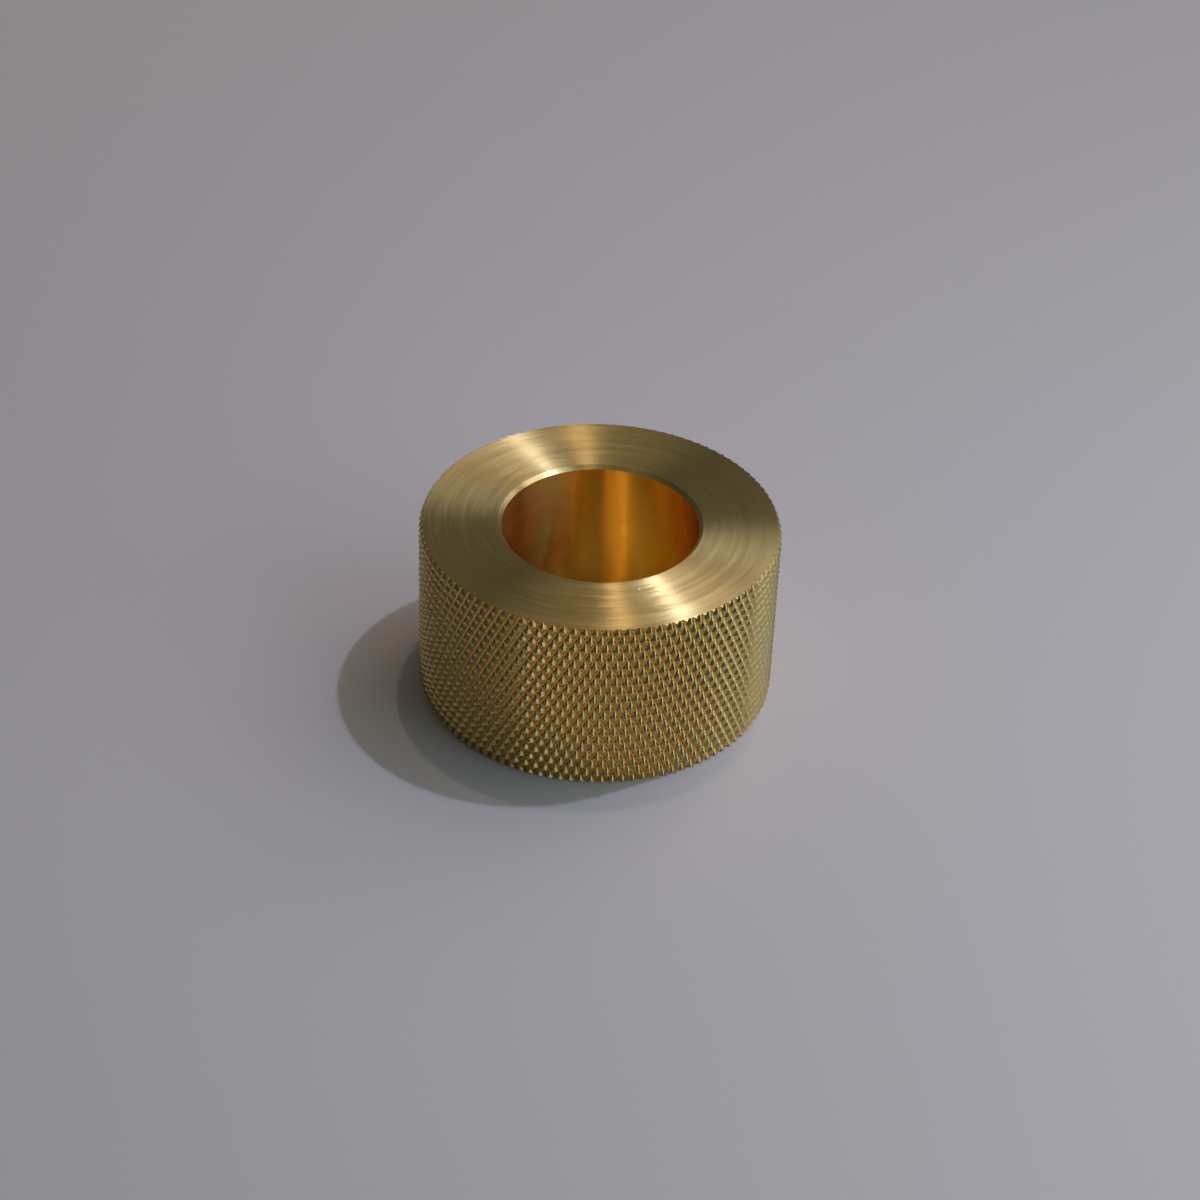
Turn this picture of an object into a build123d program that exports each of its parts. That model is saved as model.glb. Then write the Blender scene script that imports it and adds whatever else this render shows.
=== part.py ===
from build123d import *
import math
import os

# A short knurled knob with a deep round recess, turned in one piece from brass bar.
# Units are millimetres. The origin is the centre of the face that the knob stands on,
# and +Z runs up the axis of the recess. Columns of the knurl are counted from -Y.

tip_diameter = 38.5  # over the points of the knurl
height = 20.0
recess_diameter = 21.0
floor_thickness = 3.0
mouth_bevel = 0.4

knurl_teeth = 107  # points in one row round the knob
knurl_angle = 27.7  # lean of each groove away from the axis, in degrees
knurl_depth = 0.45  # from the points down to the groove bottoms
rim_gap = 0.16  # share of a diamond's height from the top face up to the next row of crossings
spare_radius = 1.0  # how far the turned blank stands outside the points

tip_radius = tip_diameter / 2
groove_radius = tip_radius - knurl_depth
diamond_width = math.pi * tip_diameter / knurl_teeth
diamond_height = diamond_width / math.tan(math.radians(knurl_angle))
row_spacing = diamond_height / 2
top_row = height + rim_gap * diamond_height
row_count = math.ceil(top_row / row_spacing)
column_count = 2 * knurl_teeth


def knurl_point(column, row):
    """One corner of the lattice: points and groove crossings take turns along each row."""
    angle = math.pi * column / knurl_teeth - math.pi / 2
    radius = tip_radius if (column + row) % 2 else groove_radius
    return Vector(radius * math.cos(angle), radius * math.sin(angle), top_row - row * row_spacing)


def flat_face(*corners):
    """A flat face inside a closed outline."""
    return Face(Wire.make_polygon(corners))


def knurl_facets(column, row):
    """The two flat facets that meet along one short length of groove."""
    left, right = column, column + 1
    if (column + row) % 2:
        groove = knurl_point(right, row), knurl_point(left, row + 1)
        points = knurl_point(left, row), knurl_point(right, row + 1)
    else:
        groove = knurl_point(left, row), knurl_point(right, row + 1)
        points = knurl_point(right, row), knurl_point(left, row + 1)
    return [flat_face(*groove, point) for point in points]


def bar_end(row):
    """The flat face that closes the knurled bar at one row."""
    return flat_face(*(knurl_point(column, row) for column in range(column_count)))


# Knurled bar: every groove runs off both ends, past the knob's two faces.
bar_faces = [bar_end(0), bar_end(row_count)]
for row in range(row_count):
    for column in range(column_count):
        bar_faces += knurl_facets(column, row)
knurled_bar = Solid(Shell(bar_faces))

# Knob: the bar faced off at both ends, with a flat-bottomed recess and a bevel round its mouth.
with BuildPart() as knurled_knob:
    with BuildSketch():
        Circle(tip_radius + spare_radius)
    extrude(amount=height)
    with Locations((0, 0, height)):
        Hole(recess_diameter / 2, depth=height - floor_thickness)
    mouth = edges().filter_by(GeomType.CIRCLE).group_by(Axis.Z)[-1].sort_by(SortBy.RADIUS)[0]
    chamfer(mouth, mouth_bevel)
    add(knurled_bar, mode=Mode.INTERSECT)

knurled_knob.part.label = "knurled_knob"

os.makedirs("parts", exist_ok=True)
export_step(knurled_knob.part, "parts/knurled_knob.step", write_pcurves=False)
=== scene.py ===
import math

import bmesh
import bpy
import numpy as np
from mathutils import Matrix, Vector


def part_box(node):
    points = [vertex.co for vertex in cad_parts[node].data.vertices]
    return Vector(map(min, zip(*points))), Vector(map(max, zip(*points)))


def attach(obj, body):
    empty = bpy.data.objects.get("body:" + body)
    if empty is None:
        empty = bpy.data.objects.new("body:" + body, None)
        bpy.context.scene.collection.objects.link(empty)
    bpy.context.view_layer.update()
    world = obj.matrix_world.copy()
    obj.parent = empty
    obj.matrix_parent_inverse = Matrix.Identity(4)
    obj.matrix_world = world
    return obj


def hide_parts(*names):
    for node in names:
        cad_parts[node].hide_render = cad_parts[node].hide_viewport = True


bl_info = {
    "name": "Knurled Knob",
    "version": (1, 0, 0),
    "blender": (4, 5, 0),
    "location": "View3D > Sidebar > Knob",
    "description": "Dresses a short knurled brass knob with its fine cut, turned faces and bright recess",
    "category": "Object",
}

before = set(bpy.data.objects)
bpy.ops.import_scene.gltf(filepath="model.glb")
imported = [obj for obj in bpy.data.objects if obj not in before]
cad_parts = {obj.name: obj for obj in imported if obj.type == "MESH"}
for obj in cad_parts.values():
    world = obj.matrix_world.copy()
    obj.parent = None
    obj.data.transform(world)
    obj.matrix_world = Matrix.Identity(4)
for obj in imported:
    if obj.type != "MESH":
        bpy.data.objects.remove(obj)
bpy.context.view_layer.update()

KNOB_NODE = "knurled_knob"
MILLIMETRE = 0.001
knob_low, knob_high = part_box(KNOB_NODE)
SOLID_WIDTH = (knob_high.y - knob_low.y) / MILLIMETRE  # in Y, where the points lie just on the box
SOLID_HEIGHT = (knob_high.z - knob_low.z) / MILLIMETRE


def length(name, description, millimetres):
    """A property that holds a length, kept in metres."""
    metres = millimetres * MILLIMETRE
    return bpy.props.FloatProperty(
        name=name, description=description, default=metres, min=0.0, precision=5, unit="LENGTH"
    )


def share(name, description, default):
    """A property that holds a share of a whole."""
    return bpy.props.FloatProperty(
        name=name,
        description=description,
        default=default,
        min=0.0,
        max=1.0,
        precision=3,
        subtype="FACTOR",
    )


def angle(name, description, degrees):
    """A property that holds an angle, kept in radians."""
    return bpy.props.FloatProperty(
        name=name, description=description, default=math.radians(degrees), subtype="ANGLE"
    )


def power(name, description, watts):
    """A property that holds the power of a lamp."""
    return bpy.props.FloatProperty(
        name=name, description=description, default=watts, min=0.0, unit="POWER"
    )


def colour(name, description, default):
    """A property that holds a linear colour."""
    return bpy.props.FloatVectorProperty(
        name=name, description=description, default=default, min=0.0, max=1.0, size=3, subtype="COLOR"
    )


class KnobSizes(bpy.types.PropertyGroup):
    """Sizes of the knob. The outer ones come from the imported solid."""

    tip_diameter: length("Tip diameter", "Over the points of the knurl", SOLID_WIDTH)
    height: length("Height", "From the standing face to the top face", SOLID_HEIGHT)
    recess_diameter: length("Recess diameter", "Across the round recess", 21.0)
    floor_thickness: length("Floor thickness", "Brass left under the recess", 3.0)
    floor_fillet: length("Floor fillet", "Radius in the corner of the recess", 0.6)
    mouth_bevel: length("Mouth bevel", "Bevel round the mouth of the recess", 0.4)
    edge_break: length("Edge break", "Bevel on both outer edges, in from the points", 0.3)
    knurl_depth: length("Knurl depth", "From the points down to the groove bottoms", 0.45)
    unevenness: length("Unevenness", "Standard deviation of where each point of the knurl lies", 0.014)
    knurl_teeth: bpy.props.IntProperty(
        name="Knurl teeth", description="Points in one row round the knob", default=107, min=12
    )
    knurl_angle: angle("Knurl angle", "Lean of each groove away from the axis", 27.7)
    rim_gap: share(
        "Rim gap", "Share of a diamond from the top face up to the next row of crossings", 0.16
    )
    groove_share: share("Groove share", "Half width of the groove bottom, as a share of a diamond", 0.03)
    tip_share: share("Tip share", "Width of the blunt point, as a share of a diamond", 0.11)


class KnobFinish(bpy.types.PropertyGroup):
    """Colours of the brass, with painted shade on the knurl and painted bounce light in its grooves."""

    brass: colour("Brass", "Clean turned brass", (0.84, 0.60, 0.26))
    # Darker, greener brass than on the turned faces. Its darkness is painted shade, standing in for the
    # shade the pyramids of the knurl cast on each other.
    knurl_brass_painted_shade: colour("Knurl brass with painted shade", "Duller brass on the flanks of the knurl", (0.60, 0.47, 0.215))
    warm_brass: colour("Warm brass", "Brass that has begun to tone", (0.78, 0.51, 0.18))
    # Deep orange painted into the groove bottoms: a painted reflection of light bounced several times
    # between the pyramids of the knurl.
    groove_painted_bounce: colour("Groove painted bounce light", "Brass in the bottom of the knurl", (0.88, 0.52, 0.13))
    recess_brass: colour("Recess brass", "Bright bored brass of the recess", (0.87, 0.60, 0.17))


class StageSettings(bpy.types.PropertyGroup):
    """Floor, light and camera."""

    floor_colour: colour("Floor", "Plain pale floor", (0.585, 0.515, 0.495))
    backdrop_colour: colour("Backdrop", "Plain pale backdrop behind the floor", (0.36, 0.34, 0.345))
    room_colour: colour("Room", "Dim cool light of the room all round", (0.042, 0.050, 0.047))
    key_power: power("Key lamp", "Power of the small lamp above the right rear", 0.175)
    warm_power: power("Warm lamp", "Power of the small warm lamp overhead", 0.038)
    overhead_power: power("Overhead light", "Power of the broad light above the right rear", 0.15)
    rear_power: power("Rear light", "Power of the soft light at the right rear", 0.15)
    window_power: power("Window light", "Power of the broad cool light at the right", 0.37)
    upper_window_power: power("Upper window light", "Power of the cool light above the window", 0.18)
    ceiling_power: power("Ceiling light", "Power of the broad warm light on the ceiling", 0.095)
    back_power: power("Back light", "Power of the dim broad light behind the knob", 0.033)
    camera_elevation: angle("Elevation", "Height of the camera above the horizon", 35.04)
    camera_roll: angle("Roll", "Turn of the camera about its line of sight", 2.267)
    camera_pan: angle("Pan", "Turn of the camera to one side", 0.0476)
    camera_tilt: angle("Tilt", "Turn of the camera up or down", -1.5465)
    camera_distance: length("Distance", "From the centre of the top face", 306.37)
    focal_length: bpy.props.FloatProperty(
        name="Focal length", description="On a frame 36 mm wide", default=86.84, min=10.0, unit="CAMERA"
    )


# ---------------------------------------------------------------------------
# Shape
# ---------------------------------------------------------------------------

SEED = 11
RING_SEGMENTS = 256
FILLET_STEP = 10  # degrees from one point to the next round the corner of the recess
BAND_WIDTH = 0.3 * MILLIMETRE  # flat band between the grooves and the first ring of each end face
TIP_CLEARANCE = 0.001 * MILLIMETRE  # keeps every point just inside the tip diameter
MERGE = 1e-7  # points nearer than this, in metres, become one
CUT_SNAP = MERGE / 10  # a cut as near as this to a point goes through it
FOLD_ANGLE = math.radians(30)  # sharper folds between turned faces keep a crisp edge
KNURL, TURNED, RECESS = range(3)  # material slots of the knob


def knurl_sheet(sizes):
    """The knurl unrolled: X runs round the knob in radians, Y up, and Z out from the axis."""
    teeth = sizes.knurl_teeth
    radius = sizes.tip_diameter / 2
    diamond_width = 2 * math.pi * radius / teeth
    row_spacing = diamond_width / math.tan(sizes.knurl_angle) / 2
    top_row = sizes.height + sizes.rim_gap * 2 * row_spacing
    row_count = math.ceil(top_row / row_spacing)

    # Each diamond is a grid. Its lines run from one groove over the blunt point to the next groove.
    groove, flat = sizes.groove_share, (1 - sizes.tip_share) / 2
    middle = (groove + flat) / 2
    lines = np.array((-groove, groove, middle, flat, 1 - flat, 1 - middle, 1 - groove))
    along, across = np.meshgrid(lines, lines, indexing="ij")
    from_groove = np.minimum(np.minimum(along, 1 - along), np.minimum(across, 1 - across))
    rise = np.clip((from_groove - groove) / (flat - groove), 0, 1)
    is_tip = rise == 1

    cells = [(c, r) for c in range(2 * teeth) for r in range(-1, row_count + 1) if (c + r) % 2 == 0]
    stray = np.random.default_rng(SEED).normal(0, sizes.unevenness, (len(cells), 3))
    points, faces, ridges = [], [], []
    side = len(lines)
    tip = side // 2
    for (column, row), (slip_round, slip_up, drop) in zip(cells, stray):
        first = len(points)
        turn = math.pi * (column + along + across) / teeth + is_tip * slip_round / radius
        up = top_row - (row + along - across) * row_spacing + is_tip * slip_up
        out = radius - sizes.knurl_depth * (1 - rise) - is_tip * (abs(drop) + TIP_CLEARANCE)
        points += list(zip(turn.flat, up.flat, out.flat))
        for i in range(side - 1):
            for j in range(side - 1):
                a = first + i * side + j
                corners = (a, a + side, a + side + 1, a + 1)
                on_level_ridge, on_upright_ridge = i == j, i + j == side - 1
                faces += split_on_ridge(corners, on_level_ridge, on_upright_ridge, i == j == tip)
                if i == j != tip:
                    ridges.append((corners[0], corners[2]))
                if on_upright_ridge and i > tip:
                    ridges.append((corners[1], corners[3]))
    mesh = bpy.data.meshes.new("knurl_sheet")
    mesh.from_pydata(points, [], faces)
    return mesh, ridges


def split_on_ridge(corners, on_level_ridge, on_upright_ridge, is_tip):
    """One cell of a diamond, halved where a ridge of the pyramid crosses it."""
    a, b, c, d = corners
    if is_tip or not (on_level_ridge or on_upright_ridge):
        return [corners]
    if on_level_ridge:
        return [(a, b, c), (a, c, d)]
    return [(a, b, d), (b, c, d)]


def cut(work, point, normal, clear):
    """Cuts everything in the mesh along a plane, and clears what lies outside if asked."""
    everything = work.verts[:] + work.edges[:] + work.faces[:]
    bmesh.ops.bisect_plane(
        work, geom=everything, dist=CUT_SNAP, plane_co=point, plane_no=normal, clear_outer=clear
    )


def face_off_edges(work, sizes):
    """Bevels both outer edges of the unrolled knurl at 45 degrees, then faces both ends."""
    rim = sizes.tip_diameter / 2 - sizes.edge_break
    cut(work, (0, sizes.height, rim), (0, 1, 1), clear=False)
    cut(work, (0, 0, rim), (0, -1, 1), clear=False)
    for vert in work.verts:
        inside = min(vert.co.y, sizes.height - vert.co.y)
        vert.co.z = min(vert.co.z, rim + inside)
    cut(work, (0, sizes.height, 0), (0, 1, 0), clear=True)
    cut(work, (0, 0, 0), (0, -1, 0), clear=True)
    for face in work.faces:
        middle = face.calc_center_median()
        on_bevel = abs(middle.z - rim - min(middle.y, sizes.height - middle.y)) < MERGE
        face.material_index = TURNED if on_bevel else KNURL
        face.smooth = not on_bevel
    groove_bottom = sizes.tip_diameter / 2 - sizes.knurl_depth
    for edge in work.edges:
        if all(abs(vert.co.z - groove_bottom) < MERGE for vert in edge.verts):
            edge.smooth = False


def roll_up(work):
    """Rolls the unrolled knurl round the Z axis, with column 0 facing -Y, and joins its two ends."""
    for vert in work.verts:
        turn, up, out = vert.co
        vert.co = (out * math.sin(turn), -out * math.cos(turn), max(up, 0))
    bmesh.ops.remove_doubles(work, verts=work.verts[:], dist=MERGE)


def ring(work, radius, height):
    """A ring of points about the Z axis, or one point where the radius is nothing."""
    if radius == 0:
        return [work.verts.new((0, 0, height))]
    turns = [2 * math.pi * k / RING_SEGMENTS for k in range(RING_SEGMENTS)]
    return [work.verts.new((radius * math.sin(t), -radius * math.cos(t), height)) for t in turns]


def lathe(work, outline, slot, smooth):
    """Turns an outline of (radius, height) pairs about the Z axis, and returns its first ring."""
    rings = [ring(work, radius, height) for radius, height in outline]
    for outer, inner in zip(rings, rings[1:]):
        for k in range(RING_SEGMENTS):
            following = (k + 1) % RING_SEGMENTS
            corners = [outer[k], outer[following]]
            corners += [inner[0]] if len(inner) == 1 else [inner[following], inner[k]]
            face = work.faces.new(corners)
            face.material_index = slot
            face.smooth = smooth
    return rings[0]


def close_end(work, first_ring, height):
    """Fills the narrow flat band between the knurl's outline and the first ring of an end face."""
    ring_radius = min(vert.co.xy.length for vert in first_ring)

    def on_band(vert):
        return abs(vert.co.z - height) < MERGE and vert.co.xy.length > ring_radius - MERGE

    rims = [edge for edge in work.edges if edge.is_boundary and all(on_band(v) for v in edge.verts)]
    filled = bmesh.ops.triangle_fill(work, edges=rims, use_beauty=True, use_dissolve=False)
    for piece in filled["geom"]:
        if isinstance(piece, bmesh.types.BMFace):
            piece.material_index = TURNED


def recess_outlines(sizes):
    """Outlines of the top face, mouth bevel, wall with its corner fillet, floor and standing face."""
    recess, top = sizes.recess_diameter / 2, sizes.height
    bevel, fillet, floor = sizes.mouth_bevel, sizes.floor_fillet, sizes.floor_thickness
    face_edge = sizes.tip_diameter / 2 - sizes.knurl_depth - BAND_WIDTH
    turns = [math.radians(d) for d in range(0, 91, FILLET_STEP)]
    corner = [
        (recess - fillet * (1 - math.cos(t)), floor + fillet * (1 - math.sin(t))) for t in turns
    ]
    return {
        "top": [(face_edge, top), (recess + bevel, top)],
        "bevel": [(recess + bevel, top), (recess, top - bevel)],
        "wall": [(recess, top - bevel)] + corner,
        "floor": [(recess - fillet, floor), (0, floor)],
        "base": [(face_edge, 0), (0, 0)],
    }


def mark_folds(work):
    """Keeps a crisp edge wherever two turned faces fold sharply."""
    for edge in work.edges:
        turned = any(face.material_index != KNURL for face in edge.link_faces)
        if turned and edge.calc_face_angle(math.pi) > FOLD_ANGLE:
            edge.smooth = False


def build_knob_mesh(sizes):
    """The whole knob as one closed mesh."""
    work = bmesh.new()
    sheet, ridges = knurl_sheet(sizes)
    work.from_mesh(sheet)
    bpy.data.meshes.remove(sheet)
    work.verts.ensure_lookup_table()
    for first, second in ridges:
        work.edges.get((work.verts[first], work.verts[second])).smooth = False
    bmesh.ops.remove_doubles(work, verts=work.verts[:], dist=MERGE)
    face_off_edges(work, sizes)
    roll_up(work)

    outlines = recess_outlines(sizes)
    top_ring = lathe(work, outlines["top"], TURNED, smooth=False)
    close_end(work, top_ring, sizes.height)
    lathe(work, outlines["bevel"], TURNED, smooth=True)
    lathe(work, outlines["wall"], RECESS, smooth=True)
    lathe(work, outlines["floor"], TURNED, smooth=False)
    base_ring = lathe(work, outlines["base"], TURNED, smooth=False)
    close_end(work, base_ring, 0)

    bmesh.ops.remove_doubles(work, verts=work.verts[:], dist=MERGE)
    bmesh.ops.recalc_face_normals(work, faces=work.faces[:])
    open_edges = sum(1 for edge in work.edges if not edge.is_manifold)
    mark_folds(work)
    mesh = bpy.data.meshes.new("knob_body")
    work.to_mesh(mesh)
    work.free()
    if open_edges:
        raise RuntimeError(f"the knob's mesh has {open_edges} open edges")
    return mesh


# ---------------------------------------------------------------------------
# Finish
# ---------------------------------------------------------------------------

# Patterns are scaled in repeats a metre.
HAIRLINE_SCALE = 260.0
SCRATCHED_PATCH_SCALE = 900.0
NICK_SCALE = 700.0
TONING_SCALE = 90.0
GRAIN_SCALE = 5200.0

# Noise values between two of these are stretched over a whole range, and held at its ends beyond.
NOISE_WIDE = (0.3, 0.7)
NOISE_MIDDLE = (0.35, 0.65)
TONED_NOISE = (0.35, 0.7)
RING_NOISES_ADDED = (0.8, 1.2)

# Turning marks: how close the rings lie, how quickly they fade round the knob, and their detail.
RING_KINDS = {"Fine": (1.0, 3.5, 1.0), "Broad": (0.2, 0.9, 3.0)}
RING_NOISE_ROUGHNESS = 0.6
FACE_RING_SPACING = 0.16 * MILLIMETRE
FACE_RING_SWAY = 0.012  # how far the fine rings tip the surface round the knob, as a slope
WALL_RING_SPACING = 0.3 * MILLIMETRE

# Handling marks: a scratch shows where the patch noise passes its limit, which a larger amount lowers.
HAIRLINE_WIDTH = 0.004
SCRATCH_LIMIT = 0.72
SCRATCH_REACH = 0.15
SCRATCH_FADE = 0.03
NICKED_SHARE = 0.12  # of the cells of the nick pattern, at an amount of one
NICK_EDGE = (0.05, 0.14)

# Each range of roughness lies below 0.27 or above 0.28. One that spans both renders with dark cracks.
KNURL_ROUGHNESS = (0.16, 0.26)
TURNED_ROUGHNESS = (0.28, 0.33)
RECESS_ROUGHNESS = (0.22, 0.25)
FLOOR_ROUGHNESS = 0.38

RELIEF_HEIGHT = 0.01 * MILLIMETRE
GROOVE_PAINTED_BOUNCE_DEPTH = (0.05, 0.40)  # share of the knurl's height over which the painted orange of bounced light fades out of the grooves
RING_SHADE = (0.90, 1.09)  # how much the turning marks darken and lighten the brass
QUARTER_TURN = 0.25


class Nodes:
    """Adds nodes to one tree and links them, so that a material reads as a list of steps."""

    def __init__(self, tree):
        self.tree = tree

    def join(self, socket, value):
        """Sets a socket to a value, or links it from another socket."""
        if isinstance(value, bpy.types.NodeSocket):
            self.tree.links.new(value, socket)
        else:
            socket.default_value = value

    def feed(self, node, name, value):
        """Sets or links one named input of a node."""
        self.join(node.inputs[name], value)

    def add(self, kind, settings=None, **inputs):
        """A node with its own settings. Each input is a value, or a socket to link from."""
        node = self.tree.nodes.new(kind)
        for name, value in (settings or {}).items():
            setattr(node, name, value)
        for name, value in inputs.items():
            self.feed(node, name.replace("_", " "), value)
        return node

    def add_in_order(self, kind, settings, values):
        """A node whose inputs are given in their own order."""
        node = self.add(kind, settings)
        for socket, value in zip(node.inputs, values):
            self.join(socket, value)
        return node

    def maths(self, operation, *values):
        """A Math node."""
        return self.add_in_order("ShaderNodeMath", {"operation": operation}, values).outputs[0]

    def vector(self, operation, *vectors):
        """A Vector Math node that gives a vector."""
        return self.add_in_order("ShaderNodeVectorMath", {"operation": operation}, vectors).outputs[0]

    def scaled(self, vector, factor):
        """A vector or colour times a number."""
        node = self.add("ShaderNodeVectorMath", {"operation": "SCALE"}, Scale=factor)
        self.join(node.inputs[0], vector)
        return node.outputs[0]

    def span(self, value, low, high, new_low=0.0, new_high=1.0):
        """A Map Range node, held within its ends."""
        values = (value, low, high, new_low, new_high)
        return self.add_in_order("ShaderNodeMapRange", None, values).outputs[0]

    def mix(self, factor, first, second):
        """A Mix node for colours."""
        node = self.add("ShaderNodeMix", {"data_type": "RGBA"})
        sockets = {socket.identifier: socket for socket in node.inputs}
        self.join(sockets["Factor_Float"], factor)
        self.join(sockets["A_Color"], first)
        self.join(sockets["B_Color"], second)
        return {socket.identifier: socket for socket in node.outputs}["Result_Color"]

    def mix_shaders(self, factor, first, second):
        """A Mix Shader node."""
        return self.add_in_order("ShaderNodeMixShader", None, (factor, first, second)).outputs[0]


def new_group(name, inputs, outputs):
    """An empty shader node group. Returns its nodes, its input node and its output node."""
    tree = bpy.data.node_groups.new(name, "ShaderNodeTree")
    for label, kind, default in inputs:
        socket = tree.interface.new_socket(name=label, in_out="INPUT", socket_type=kind)
        socket.default_value = default
    for label, kind in outputs:
        tree.interface.new_socket(name=label, in_out="OUTPUT", socket_type=kind)
    nodes = Nodes(tree)
    return nodes, nodes.add("NodeGroupInput"), nodes.add("NodeGroupOutput")


def turning_marks_group():
    """Fine rings left by a lathe tool. They run round the Z axis and fade in and out on the way."""
    nodes, given, result = new_group(
        "Turning marks",
        (
            ("Across", "NodeSocketFloat", 0.0),
            ("Spacing", "NodeSocketFloat", 0.0004),
            ("Sway", "NodeSocketFloat", 0.0),
        ),
        (
            ("Fine", "NodeSocketFloat"),
            ("Broad", "NodeSocketFloat"),
            ("Swayed Normal", "NodeSocketVector"),
        ),
    )
    place = nodes.add("ShaderNodeTexCoord").outputs["Object"]
    bearing = nodes.vector("NORMALIZE", nodes.vector("MULTIPLY", place, (1, 1, 0)))
    parts = nodes.add("ShaderNodeSeparateXYZ", Vector=bearing)
    count = nodes.maths("DIVIDE", given.outputs["Across"], given.outputs["Spacing"])
    rings = {}
    for label, (pace, fade, detail) in RING_KINDS.items():
        spot = nodes.add(
            "ShaderNodeCombineXYZ",
            X=nodes.maths("MULTIPLY", count, pace),
            Y=nodes.maths("MULTIPLY", parts.outputs["X"], fade),
            Z=nodes.maths("MULTIPLY", parts.outputs["Y"], fade),
        )
        noise = nodes.add(
            "ShaderNodeTexNoise",
            Vector=spot.outputs[0],
            Scale=1.0,
            Detail=detail,
            Roughness=RING_NOISE_ROUGHNESS,
        )
        rings[label] = noise.outputs["Fac"]
        nodes.feed(result, label, rings[label])

    # The fine rings tip the surface a little to one side or the other, round the knob.
    tip = nodes.span(rings["Fine"], *NOISE_MIDDLE, -1.0, 1.0)
    sway = nodes.maths("MULTIPLY", tip, given.outputs["Sway"])
    round_knob = nodes.add(
        "ShaderNodeVectorTransform",
        {"vector_type": "VECTOR", "convert_from": "OBJECT", "convert_to": "WORLD"},
        Vector=nodes.vector("CROSS_PRODUCT", (0, 0, 1), bearing),
    )
    push = nodes.scaled(round_knob.outputs[0], sway)
    normal = nodes.add("ShaderNodeNewGeometry").outputs["Normal"]
    swayed = nodes.vector("NORMALIZE", nodes.vector("ADD", normal, push))
    nodes.feed(result, "Swayed Normal", swayed)


def handling_marks_group():
    """Sparse hairline scratches and small nicks."""
    nodes, given, result = new_group(
        "Handling marks",
        (("Amount", "NodeSocketFloat", 0.5),),
        (("Scratch", "NodeSocketFloat"), ("Nick", "NodeSocketFloat")),
    )
    amount = given.outputs["Amount"]
    place = nodes.add("ShaderNodeTexCoord").outputs["Object"]

    wander = nodes.add("ShaderNodeTexNoise", Vector=place, Scale=HAIRLINE_SCALE, Detail=1.0)
    from_line = nodes.maths("ABSOLUTE", nodes.maths("SUBTRACT", wander.outputs["Fac"], 0.5))
    hairline = nodes.span(from_line, 0.0, HAIRLINE_WIDTH, 1.0, 0.0)
    patches = nodes.add("ShaderNodeTexNoise", Vector=place, Scale=SCRATCHED_PATCH_SCALE, Detail=1.0)
    limit = nodes.maths("SUBTRACT", SCRATCH_LIMIT, nodes.maths("MULTIPLY", amount, SCRATCH_REACH))
    patchy = nodes.span(patches.outputs["Fac"], limit, nodes.maths("ADD", limit, SCRATCH_FADE))
    nodes.feed(result, "Scratch", nodes.maths("MULTIPLY", hairline, patchy))

    cells = nodes.add("ShaderNodeTexVoronoi", {"feature": "F1"}, Vector=place, Scale=NICK_SCALE)
    draw = nodes.add("ShaderNodeSeparateColor", Color=cells.outputs["Color"])
    whole_share = nodes.maths("SUBTRACT", 1.0, nodes.maths("MULTIPLY", amount, NICKED_SHARE))
    nicked = nodes.maths("GREATER_THAN", draw.outputs[0], whole_share)
    pit = nodes.span(cells.outputs["Distance"], *NICK_EDGE, 1.0, 0.0)
    nodes.feed(result, "Nick", nodes.maths("MULTIPLY", pit, nicked))


def toning_group():
    """Slow patches where the brass has begun to tone."""
    nodes, given, result = new_group(
        "Toning",
        (
            ("Clean", "NodeSocketColor", (1, 1, 1, 1)),
            ("Toned", "NodeSocketColor", (1, 1, 1, 1)),
            ("Amount", "NodeSocketFloat", 0.5),
        ),
        (("Colour", "NodeSocketColor"),),
    )
    place = nodes.add("ShaderNodeTexCoord").outputs["Object"]
    patches = nodes.add(
        "ShaderNodeTexNoise", Vector=place, Scale=TONING_SCALE, Detail=4.0, Roughness=0.55
    )
    tone = nodes.span(patches.outputs["Fac"], *TONED_NOISE)
    factor = nodes.maths("MULTIPLY", tone, given.outputs["Amount"])
    nodes.feed(result, "Colour", nodes.mix(factor, given.outputs["Clean"], given.outputs["Toned"]))


def place_group(nodes, name, **inputs):
    """Places one of the shared groups in a material."""
    return nodes.add("ShaderNodeGroup", {"node_tree": bpy.data.node_groups[name]}, **inputs)


def opaque(rgb):
    """A colour with its alpha."""
    return (*rgb, 1.0)


def place_toning(nodes, clean, finish, amount):
    """Places the toning in a material, and gives its colour."""
    toning = place_group(
        nodes, "Toning", Clean=opaque(clean), Toned=opaque(finish.warm_brass), Amount=amount
    )
    return toning.outputs["Colour"]


def new_material(name):
    """A material with no nodes yet."""
    material = bpy.data.materials.new(name)
    material.use_nodes = True
    material.node_tree.nodes.clear()
    return material, Nodes(material.node_tree)


def add_brass(nodes, base, rough, normal):
    """The metal itself, with its colour, roughness and relief, joined to the material's output."""
    shader = nodes.add("ShaderNodeBsdfPrincipled", Base_Color=base, Metallic=1.0, Roughness=rough)
    nodes.feed(shader, "Normal", normal)
    nodes.add("ShaderNodeOutputMaterial", Surface=shader.outputs["BSDF"])
    return shader


def stretch_highlights(nodes, shader):
    """Stretches highlights across the turning marks, so they fan out from the axis."""
    tangent = nodes.add("ShaderNodeTangent", {"direction_type": "RADIAL", "axis": "Z"})
    nodes.feed(shader, "Tangent", tangent.outputs["Tangent"])
    nodes.feed(shader, "Anisotropic", 1.0)
    nodes.feed(shader, "Anisotropic Rotation", QUARTER_TURN)


def radius_of(nodes, place):
    """How far each point of the surface lies from the Z axis."""
    parts = nodes.add("ShaderNodeSeparateXYZ", Vector=place)
    x, y = parts.outputs["X"], parts.outputs["Y"]
    squared = nodes.maths("ADD", nodes.maths("MULTIPLY", x, x), nodes.maths("MULTIPLY", y, y))
    return nodes.maths("SQRT", squared)


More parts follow.
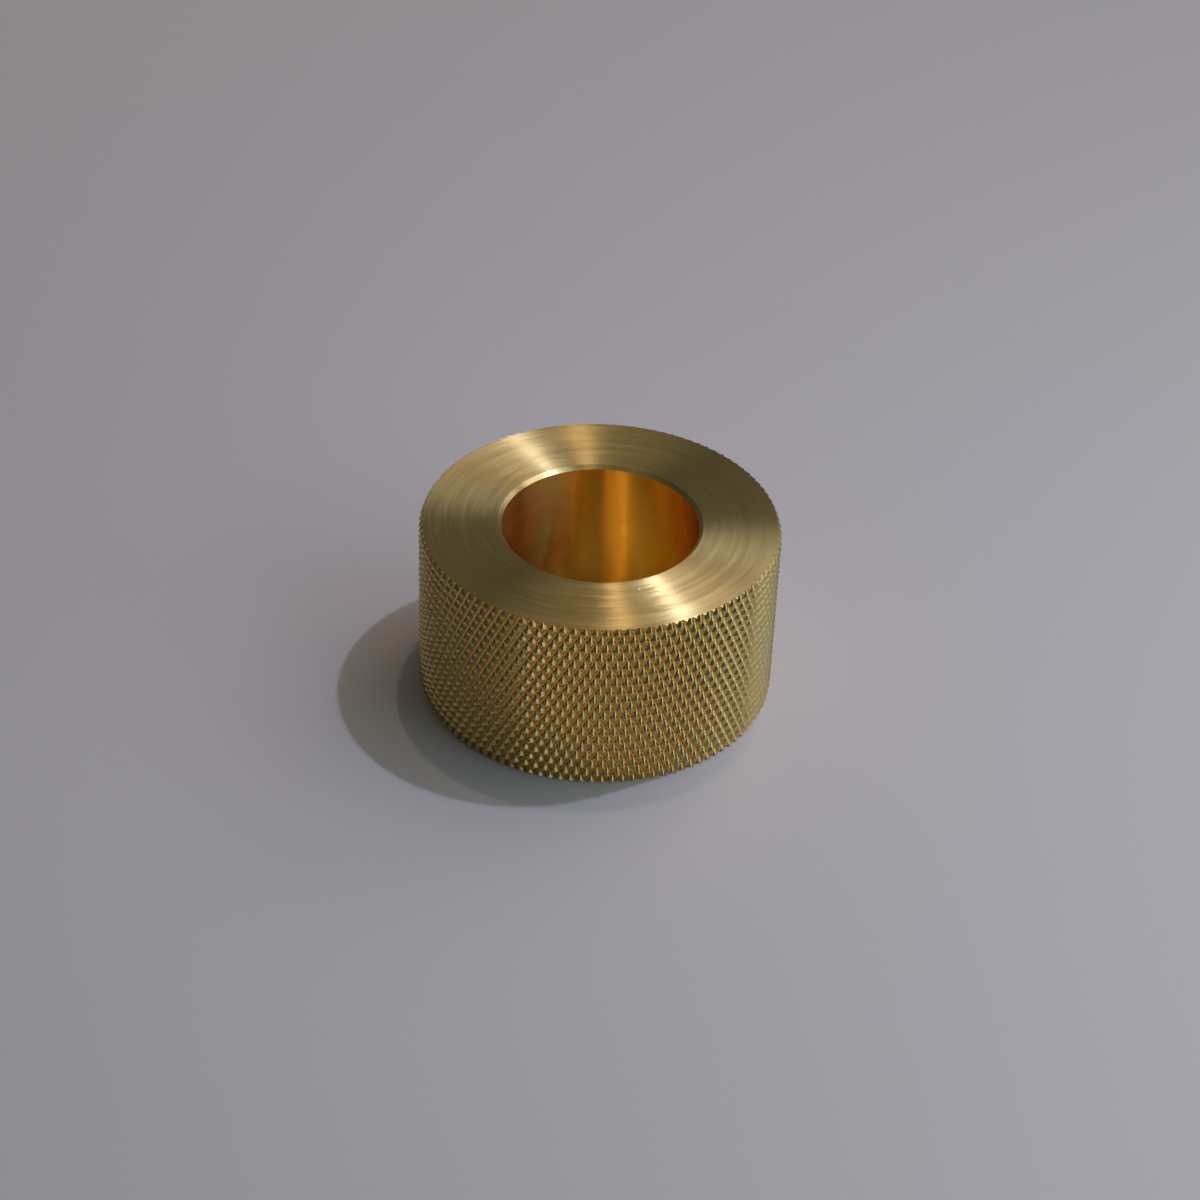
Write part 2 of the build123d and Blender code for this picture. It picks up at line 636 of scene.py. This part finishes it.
def knurl_material(sizes, finish):
    """Knurled brass: flanks darkened with painted shade, a painted orange of light bounced between the
    pyramids deepening into the grooves, a fine pressed grain and a few nicks.
    """
    material, nodes = new_material("knurled_brass")
    place = nodes.add("ShaderNodeTexCoord").outputs["Object"]
    tip = sizes.tip_diameter / 2
    depth = nodes.span(radius_of(nodes, place), tip - sizes.knurl_depth, tip)
    # The flanks' colour carries painted shade.
    flanks = place_toning(nodes, finish.knurl_brass_painted_shade, finish, amount=0.3)
    # Painted bounce light: the groove colour is strongest at the groove bottoms and fades out up the
    # flanks.
    painted_bounce_mask = nodes.span(depth, *GROOVE_PAINTED_BOUNCE_DEPTH, 1.0, 0.0)
    base = nodes.mix(painted_bounce_mask, flanks, opaque(finish.groove_painted_bounce))
    grain = nodes.add("ShaderNodeTexNoise", Vector=place, Scale=GRAIN_SCALE, Detail=2.0)
    marks = place_group(nodes, "Handling marks", Amount=0.6)
    rough = nodes.span(grain.outputs["Fac"], *NOISE_WIDE, *KNURL_ROUGHNESS)
    height = nodes.maths("SUBTRACT", grain.outputs["Fac"], marks.outputs["Nick"])
    bump = nodes.add("ShaderNodeBump", Strength=0.5, Distance=RELIEF_HEIGHT, Height=height)
    add_brass(nodes, base, rough, bump.outputs["Normal"])
    return material


def turned_material(finish):
    """Faced brass, with fine tool rings, hairlines and a few nicks."""
    material, nodes = new_material("turned_brass")
    place = nodes.add("ShaderNodeTexCoord").outputs["Object"]
    rings = place_group(
        nodes,
        "Turning marks",
        Across=radius_of(nodes, place),
        Spacing=FACE_RING_SPACING,
        Sway=FACE_RING_SWAY,
    )
    toned = place_toning(nodes, finish.brass, finish, amount=0.45)
    marks = place_group(nodes, "Handling marks", Amount=0.5)
    fine, broad = rings.outputs["Fine"], rings.outputs["Broad"]
    shade = nodes.span(nodes.maths("ADD", fine, broad), *RING_NOISES_ADDED, *RING_SHADE)
    rough = nodes.span(broad, *NOISE_MIDDLE, *TURNED_ROUGHNESS)
    raised = nodes.maths("ADD", marks.outputs["Nick"], marks.outputs["Scratch"])
    bump = nodes.add(
        "ShaderNodeBump",
        Strength=0.35,
        Distance=RELIEF_HEIGHT,
        Height=nodes.maths("MULTIPLY", raised, -1.0),
        Normal=rings.outputs["Swayed Normal"],
    )
    shader = add_brass(nodes, nodes.scaled(toned, shade), rough, bump.outputs["Normal"])
    stretch_highlights(nodes, shader)
    return material


def recess_material(finish):
    """Bright bored brass, with faint rings up the wall."""
    material, nodes = new_material("bored_brass")
    place = nodes.add("ShaderNodeTexCoord").outputs["Object"]
    up = nodes.add("ShaderNodeSeparateXYZ", Vector=place).outputs["Z"]
    rings = place_group(nodes, "Turning marks", Across=up, Spacing=WALL_RING_SPACING)
    toned = place_toning(nodes, finish.recess_brass, finish, amount=0.15)
    rough = nodes.span(rings.outputs["Broad"], *NOISE_WIDE, *RECESS_ROUGHNESS)
    bump = nodes.add(
        "ShaderNodeBump", Strength=0.12, Distance=RELIEF_HEIGHT, Height=rings.outputs["Fine"]
    )
    shader = add_brass(nodes, toned, rough, bump.outputs["Normal"])
    stretch_highlights(nodes, shader)
    return material


class KNOB_OT_build_body(bpy.types.Operator):
    """Build the knurled knob with its turned faces and bright recess"""

    bl_idname = "knob.build_body"
    bl_label = "Build Knob"
    bl_options = {"REGISTER", "UNDO"}

    def execute(self, context):
        sizes, finish = context.scene.knob_sizes, context.scene.knob_finish
        turning_marks_group()
        handling_marks_group()
        toning_group()
        mesh = build_knob_mesh(sizes)
        mesh.materials.append(knurl_material(sizes, finish))
        mesh.materials.append(turned_material(finish))
        mesh.materials.append(recess_material(finish))
        knob = bpy.data.objects.new("knob_body", mesh)
        context.scene.collection.objects.link(knob)
        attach(knob, "root")
        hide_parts(KNOB_NODE)
        return {"FINISHED"}


# ---------------------------------------------------------------------------
# Stage
# ---------------------------------------------------------------------------

FLOOR_HALF = 3.0  # metres from the axis to each side
FLOOR_FADE = (0.08, 0.42)  # metres from the axis to where the floor begins to run out, and has gone
SENSOR_WIDTH = 36.0  # millimetres
NEAREST_SEEN = 0.01  # metres from the camera
BOUNCES = 16
GLOSSY_BOUNCES = 12


def towards(elevation, bearing):
    """A unit direction. Bearing is counted from +Y towards +X."""
    flat = math.cos(elevation)
    return Vector((flat * math.sin(bearing), flat * math.cos(bearing), math.sin(elevation)))


def add_lamp(scene, name, watts, rgb, elevation, bearing, distance, size, spread):
    """A lamp that faces the knob. Its elevation, bearing and spread are in degrees."""
    light = bpy.data.lights.new(name, "AREA")
    light.shape = "RECTANGLE"
    light.size, light.size_y = size
    light.energy = watts
    light.color = rgb
    light.spread = math.radians(spread)
    lamp = bpy.data.objects.new(name, light)
    elevation, bearing = math.radians(elevation), math.radians(bearing)
    lamp.location = towards(elevation, bearing) * distance
    lamp.rotation_euler = (math.pi / 2 - elevation, 0, math.pi - bearing)
    scene.collection.objects.link(lamp)


def hang_lamps(scene, stage):
    """Two small lamps draw the bright lines on the top face. Six broad ones stand for a room."""
    add_lamp(
        scene, "key_lamp", stage.key_power, rgb=(0.60, 0.72, 1.0),
        elevation=66, bearing=65.5, distance=0.7, size=(0.015, 0.015), spread=70,
    )
    add_lamp(
        scene, "warm_lamp", stage.warm_power, rgb=(1.0, 0.84, 0.70),
        elevation=77, bearing=22, distance=0.7, size=(0.015, 0.015), spread=70,
    )
    add_lamp(
        scene, "overhead_light", stage.overhead_power, rgb=(1.0, 0.86, 0.84),
        elevation=57, bearing=52, distance=0.6, size=(0.50, 0.24), spread=90,
    )
    add_lamp(
        scene, "rear_light", stage.rear_power, rgb=(0.80, 0.88, 1.0),
        elevation=34, bearing=45, distance=0.6, size=(0.40, 0.18), spread=100,
    )
    add_lamp(
        scene, "window_light", stage.window_power, rgb=(0.72, 0.92, 1.0),
        elevation=20, bearing=116, distance=0.4, size=(0.49, 0.27), spread=150,
    )
    add_lamp(
        scene, "upper_window_light", stage.upper_window_power, rgb=(0.42, 0.72, 1.0),
        elevation=45, bearing=105, distance=0.5, size=(0.45, 0.18), spread=120,
    )
    add_lamp(
        scene, "ceiling_light", stage.ceiling_power, rgb=(1.0, 0.94, 0.72),
        elevation=80, bearing=-20, distance=0.6, size=(0.40, 0.30), spread=120,
    )
    add_lamp(
        scene, "back_light", stage.back_power, rgb=(1.0, 0.93, 0.90),
        elevation=38, bearing=-8, distance=0.6, size=(0.60, 0.40), spread=150,
    )


def floor_material(rgb, backdrop):
    """The plain floor. Seen from the camera, it runs out into the pale backdrop."""
    material, nodes = new_material("floor")
    floor = nodes.add("ShaderNodeBsdfPrincipled", Base_Color=opaque(rgb), Roughness=FLOOR_ROUGHNESS)
    pale = nodes.add("ShaderNodeEmission", Color=opaque(backdrop), Strength=1.0)
    place = nodes.add("ShaderNodeTexCoord").outputs["Object"]
    away = nodes.add_in_order("ShaderNodeVectorMath", {"operation": "LENGTH"}, (place,))
    far = nodes.span(away.outputs["Value"], *FLOOR_FADE)
    seen = nodes.add("ShaderNodeLightPath").outputs["Is Camera Ray"]
    run_out = nodes.maths("MULTIPLY", far, seen)
    surface = nodes.mix_shaders(run_out, floor.outputs["BSDF"], pale.outputs[0])
    nodes.add("ShaderNodeOutputMaterial", Surface=surface)
    return material


def add_floor(scene, rgb, backdrop):
    """A wide plain floor under the knob."""
    mesh = bpy.data.meshes.new("floor")
    corners = [(x * FLOOR_HALF, y * FLOOR_HALF, 0) for x, y in ((-1, -1), (1, -1), (1, 1), (-1, 1))]
    mesh.from_pydata(corners, [], [(0, 1, 2, 3)])
    mesh.materials.append(floor_material(rgb, backdrop))
    floor = bpy.data.objects.new("floor", mesh)
    scene.collection.objects.link(floor)


def add_room_light(scene, rgb, backdrop):
    """A dim room all round. The camera sees a pale backdrop in its place, which lights nothing."""
    world = bpy.data.worlds.new("room")
    world.use_nodes = True
    world.node_tree.nodes.clear()
    nodes = Nodes(world.node_tree)
    room = nodes.add("ShaderNodeBackground", Color=opaque(rgb), Strength=1.0)
    pale = nodes.add("ShaderNodeBackground", Color=opaque(backdrop), Strength=1.0)
    seen = nodes.add("ShaderNodeLightPath").outputs["Is Camera Ray"]
    surface = nodes.mix_shaders(seen, room.outputs[0], pale.outputs[0])
    nodes.add("ShaderNodeOutputWorld", Surface=surface)
    scene.world = world


def spin(first, second, turn):
    """Turns two of a vector's three parts in their own plane, the first towards the second."""
    c, s = math.cos(turn), math.sin(turn)
    return c * first - s * second, s * first + c * second


def add_camera(scene, sizes, stage):
    """The camera, in front of the knob and above it, with its small roll, tilt and pan."""
    raised = stage.camera_elevation
    right = Vector((1, 0, 0))
    ahead = Vector((0, math.cos(raised), -math.sin(raised)))
    above = Vector((0, math.sin(raised), math.cos(raised)))

    def turned(u, v, w):
        u, v = spin(u, v, stage.camera_roll)
        v, w = spin(v, w, -stage.camera_tilt)
        u, w = spin(u, w, -stage.camera_pan)
        return u * right + v * above + w * ahead

    facing = Matrix((turned(1, 0, 0), turned(0, 1, 0), -turned(0, 0, 1))).transposed()
    place = Vector((0, 0, sizes.height)) - ahead * stage.camera_distance
    data = bpy.data.cameras.new("camera")
    data.sensor_width = SENSOR_WIDTH
    data.lens = stage.focal_length
    data.clip_start = NEAREST_SEEN
    camera = bpy.data.objects.new("camera", data)
    camera.matrix_world = Matrix.Translation(place) @ facing.to_4x4()
    scene.collection.objects.link(camera)
    scene.camera = camera


class KNOB_OT_build_stage(bpy.types.Operator):
    """Lay the plain floor, hang the soft lamps and set the camera"""

    bl_idname = "knob.build_stage"
    bl_label = "Build Stage"
    bl_options = {"REGISTER", "UNDO"}

    def execute(self, context):
        scene, stage = context.scene, context.scene.knob_stage
        add_floor(scene, stage.floor_colour, stage.backdrop_colour)
        hang_lamps(scene, stage)
        add_room_light(scene, stage.room_colour, stage.backdrop_colour)
        add_camera(scene, scene.knob_sizes, stage)
        scene.view_settings.view_transform = "Standard"
        scene.cycles.max_bounces = BOUNCES
        scene.cycles.glossy_bounces = GLOSSY_BOUNCES
        return {"FINISHED"}


class KNOB_PT_sidebar(bpy.types.Panel):
    """Lists the sizes, the finish and the stage of the knob"""

    bl_idname = "KNOB_PT_sidebar"
    bl_label = "Knurled Knob"
    bl_space_type = "VIEW_3D"
    bl_region_type = "UI"
    bl_category = "Knob"

    def draw(self, context):
        scene = context.scene
        steps = (
            ("Knob", KNOB_OT_build_body, (scene.knob_sizes, scene.knob_finish)),
            ("Stage", KNOB_OT_build_stage, (scene.knob_stage,)),
        )
        for title, operator, groups in steps:
            box = self.layout.box()
            box.label(text=title)
            for group in groups:
                for name in group.__annotations__:
                    box.prop(group, name)
            box.operator(operator.bl_idname)


CLASSES = (
    KnobSizes,
    KnobFinish,
    StageSettings,
    KNOB_OT_build_body,
    KNOB_OT_build_stage,
    KNOB_PT_sidebar,
)


def register():
    """Adds the classes to Blender, and the settings to its scenes."""
    for cls in CLASSES:
        bpy.utils.register_class(cls)
    bpy.types.Scene.knob_sizes = bpy.props.PointerProperty(type=KnobSizes)
    bpy.types.Scene.knob_finish = bpy.props.PointerProperty(type=KnobFinish)
    bpy.types.Scene.knob_stage = bpy.props.PointerProperty(type=StageSettings)


def unregister():
    """Takes the settings and the classes away again."""
    del bpy.types.Scene.knob_stage
    del bpy.types.Scene.knob_finish
    del bpy.types.Scene.knob_sizes
    for cls in reversed(CLASSES):
        bpy.utils.unregister_class(cls)


def main():
    """Registers the classes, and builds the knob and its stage."""
    register()
    bpy.ops.knob.build_body()
    bpy.ops.knob.build_stage()


if __name__ == "__main__":
    main()
